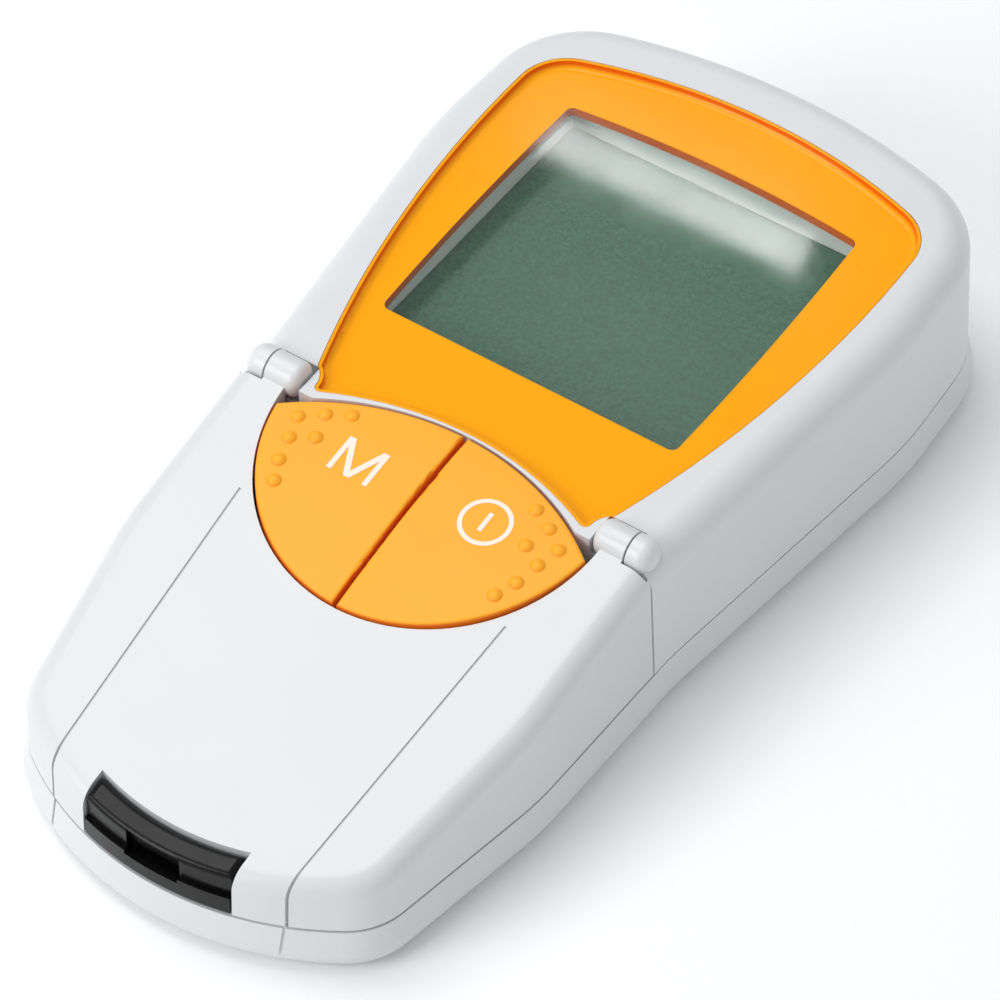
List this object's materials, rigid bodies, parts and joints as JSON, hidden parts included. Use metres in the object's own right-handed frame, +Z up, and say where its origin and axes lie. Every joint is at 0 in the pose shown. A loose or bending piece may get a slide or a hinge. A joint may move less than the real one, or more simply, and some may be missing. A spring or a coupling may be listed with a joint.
{
  "type": "blood glucose meter",
  "caption": "Handheld blood glucose test strip meter with a hinged measuring flap, orange display bezel, domed press keys and a removable strip guide.",
  "frame": {"origin": "centre of the resting face under the middle of the meter's outline", "axes": "+Z up from the resting face, +X to the user's right, +Y from the strip end to the display end"},
  "size_m": [0.0812, 0.154, 0.03],
  "materials": {
    "housing_white": "satin moulded ABS",
    "flap_white": "satin moulded ABS",
    "bezel_orange": "glossy moulded ABS",
    "key_orange": "matte key plastic",
    "lens_clear": "clear acrylic",
    "lcd": "display glass with grey-green reflector",
    "frame_white": "moulded ABS",
    "elastomer": "striped silicone",
    "board_green": "solder mask on glass fibre laminate",
    "chip_black": "moulded epoxy",
    "steel": "zinc plated steel",
    "nickel": "nickel plated steel",
    "silicone": "moulded silicone",
    "set_grey": "moulded ABS",
    "ir_black": "infrared clear tinted plastic",
    "guide_black": "glossy moulded ABS",
    "door_white": "moulded ABS",
    "deck_grey": "moulded ABS",
    "heater_metal": "plain aluminium",
    "clear_glass": "polished glass",
    "diode_clear": "clear epoxy",
    "ribbon_amber": "polyimide film",
    "pad_grey": "foam rubber",
    "cell_jacket": "plain shrink film jacket"
  },
  "bodies": {
    "housing": {"lower_housing": "housing_white", "upper_housing": "housing_white", "display_bezel": "bezel_orange", "display_lens": "lens_clear", "lcd_frame": "frame_white", "lcd_glass": "lcd", "lcd_connectors": "elastomer", "main_board": "board_green", "board_screws": "steel", "controller_chip": "chip_black", "memory_chip": "chip_black", "quartz_crystal": "nickel", "buzzer": "chip_black", "keypad_mat": "silicone", "set_switch": "chip_black", "ir_window": "ir_black", "ir_module": "chip_black", "housing_screws": "steel", "contact_plates": "nickel", "contact_springs": "nickel", "chamber_deck": "deck_grey", "heater_plate": "heater_metal", "optics_window": "clear_glass", "optics_block": "chip_black", "optics_leds": "diode_clear", "photodiode": "chip_black", "sensor_board": "board_green", "sensor_ribbon": "ribbon_amber", "hinge_pins": "steel", "flap_switch": "chip_black", "battery_cell_1": "cell_jacket", "battery_cell_2": "cell_jacket", "battery_cell_3": "cell_jacket", "battery_cell_4": "cell_jacket"},
    "flap": {"flap_cover": "flap_white", "pressure_pad": "pad_grey"},
    "memory_key": {"memory_button": "key_orange"},
    "power_key": {"power_button": "key_orange"},
    "set_key": {"set_button": "set_grey"},
    "door": {"battery_door": "door_white"},
    "guide": {"strip_guide": "guide_black"}
  },
  "joints": [
    {"name": "flap_hinge", "type": "hinge", "parent": "housing", "child": "flap", "pos_m": [0, -0.0089, 0.0273], "axis": [-1, 0, 0], "range_deg": [0, 95]},
    {"name": "memory_press", "type": "slide", "parent": "housing", "child": "memory_key", "axis": [0, 0.1564, -0.9877], "range_m": [0, 0.0006], "stiffness_N_per_m": 1500},
    {"name": "power_press", "type": "slide", "parent": "housing", "child": "power_key", "axis": [0, 0.1564, -0.9877], "range_m": [0, 0.0006], "stiffness_N_per_m": 1500},
    {"name": "set_press", "type": "slide", "parent": "housing", "child": "set_key", "axis": [1, 0, 0], "range_m": [0, 0.0005], "stiffness_N_per_m": 1500},
    {"name": "door_lift_off", "type": "slide", "parent": "housing", "child": "door", "axis": [0, 0, -1], "range_m": [0, 0.02]},
    {"name": "guide_pull_out", "type": "slide", "parent": "housing", "child": "guide", "axis": [0, -1, 0], "range_m": [0, 0.045]}
  ]
}
